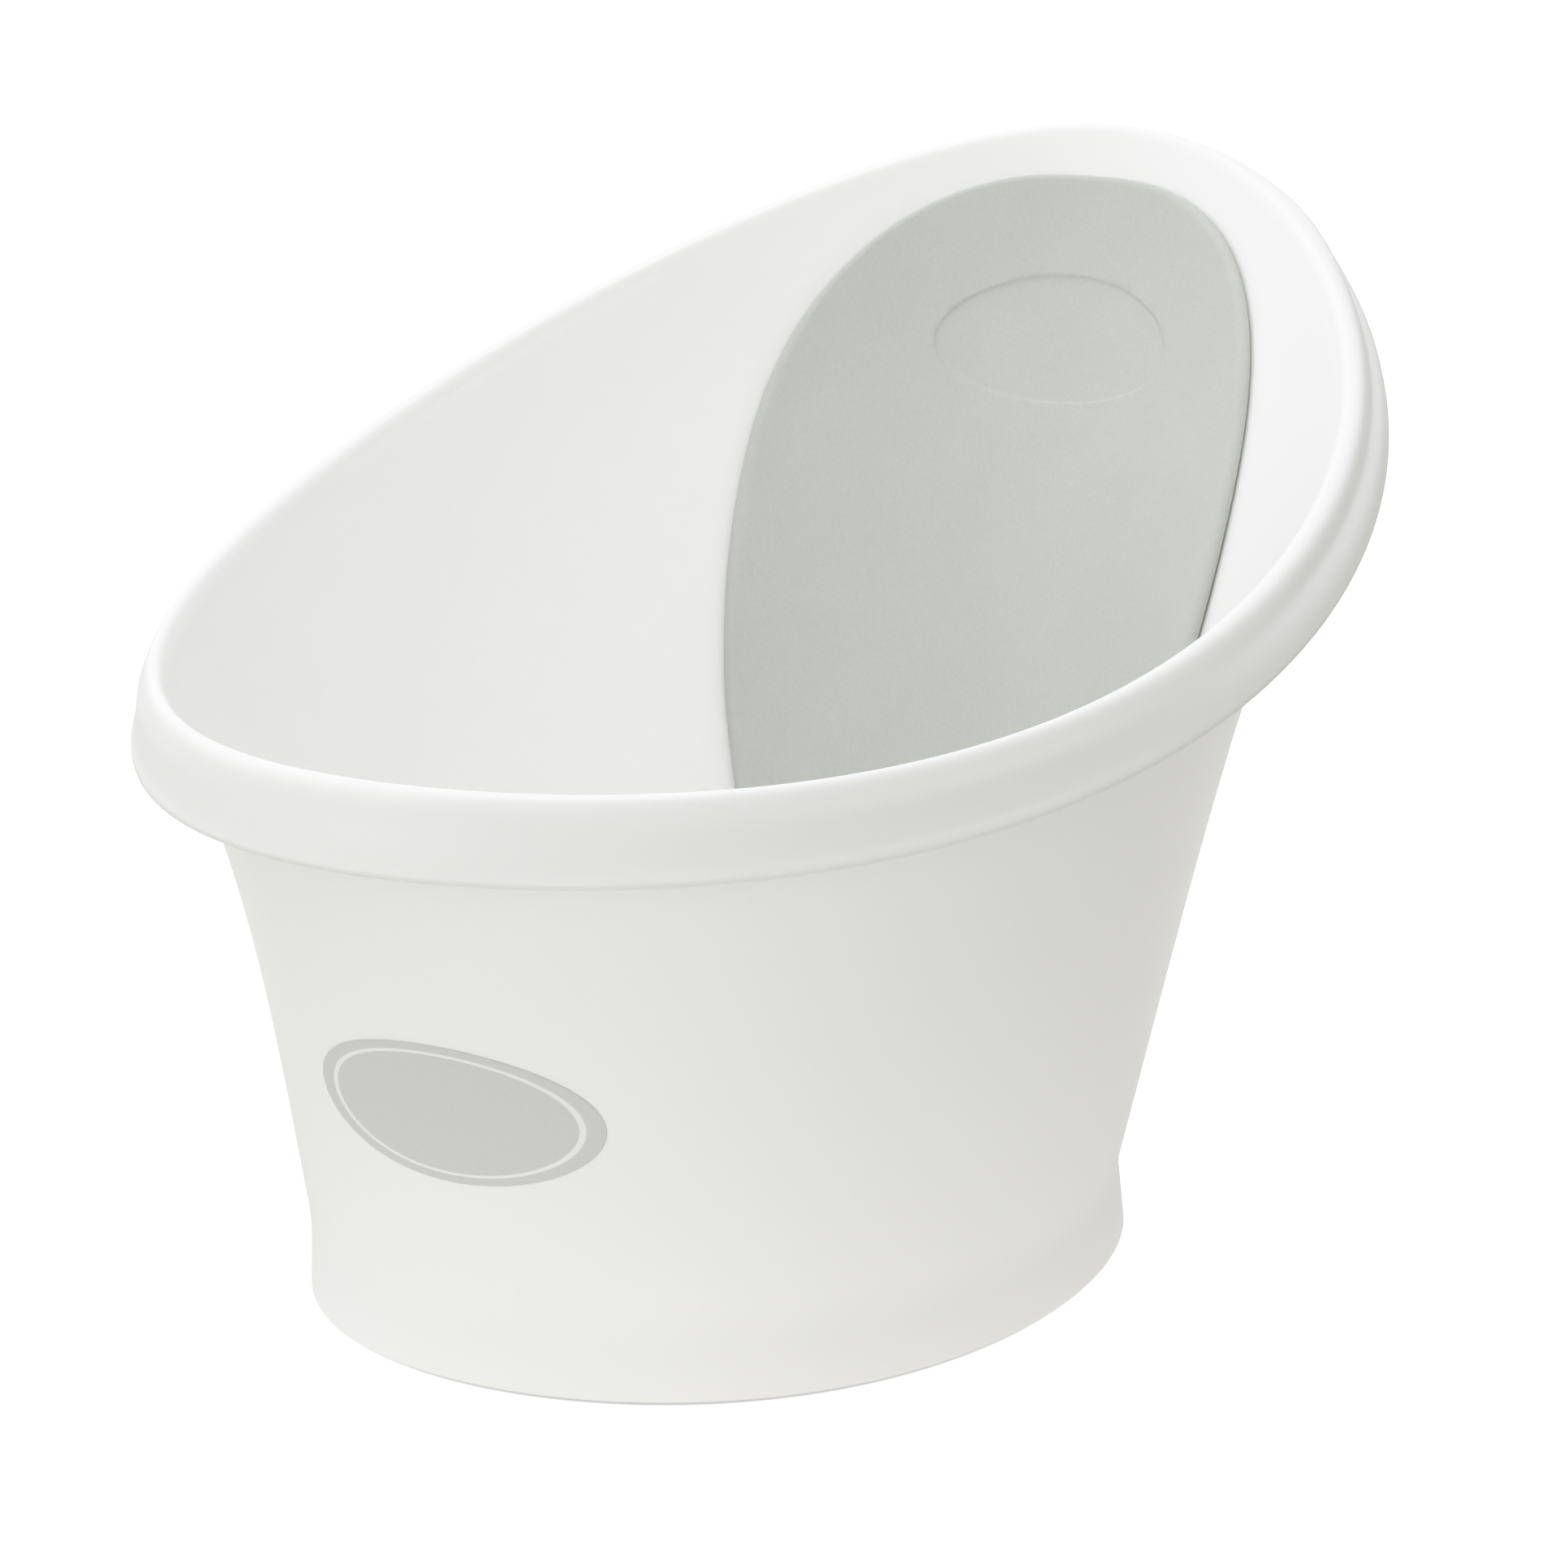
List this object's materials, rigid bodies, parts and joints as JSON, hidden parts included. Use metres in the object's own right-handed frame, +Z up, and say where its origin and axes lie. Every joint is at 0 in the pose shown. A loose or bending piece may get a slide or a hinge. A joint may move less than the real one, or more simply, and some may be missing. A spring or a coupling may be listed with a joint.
{
  "type": "baby bathtub",
  "caption": "Free-standing sit-up newborn bathtub: oval moulded bowl, raised head end, rolled rim with skirt, foam backrest, seat stop, drain plug and rubber feet.",
  "frame": {"origin": "centre of the bounding box in plan, on the floor plane under the feet", "axes": "+X towards the raised head end, +Z up, +Y to the left when facing the head end"},
  "size_m": [0.5617, 0.4162, 0.3433],
  "materials": {
    "white_plastic": "satin white polypropylene moulding",
    "grey_foam": "matt closed-cell EVA foam, fine grain",
    "bonding_film": "thin adhesive film",
    "grey_print": "plain printed vinyl, no lettering",
    "grey_silicone": "soft satin silicone rubber",
    "foot_rubber": "matt thermoplastic rubber"
  },
  "bodies": {
    "tub": {"tub_shell": "white_plastic", "backrest_pad": "grey_foam", "backrest_adhesive": "bonding_film", "front_badge": "grey_print", "foot_head_left": "foot_rubber", "foot_head_right": "foot_rubber", "foot_end_left": "foot_rubber", "foot_end_right": "foot_rubber"},
    "plug": {"drain_plug": "grey_silicone"}
  },
  "joints": [
    {"name": "drain_plug_lift", "type": "slide", "parent": "tub", "child": "plug", "axis": [0, 0, 1], "range_m": [0, 0.36]}
  ]
}
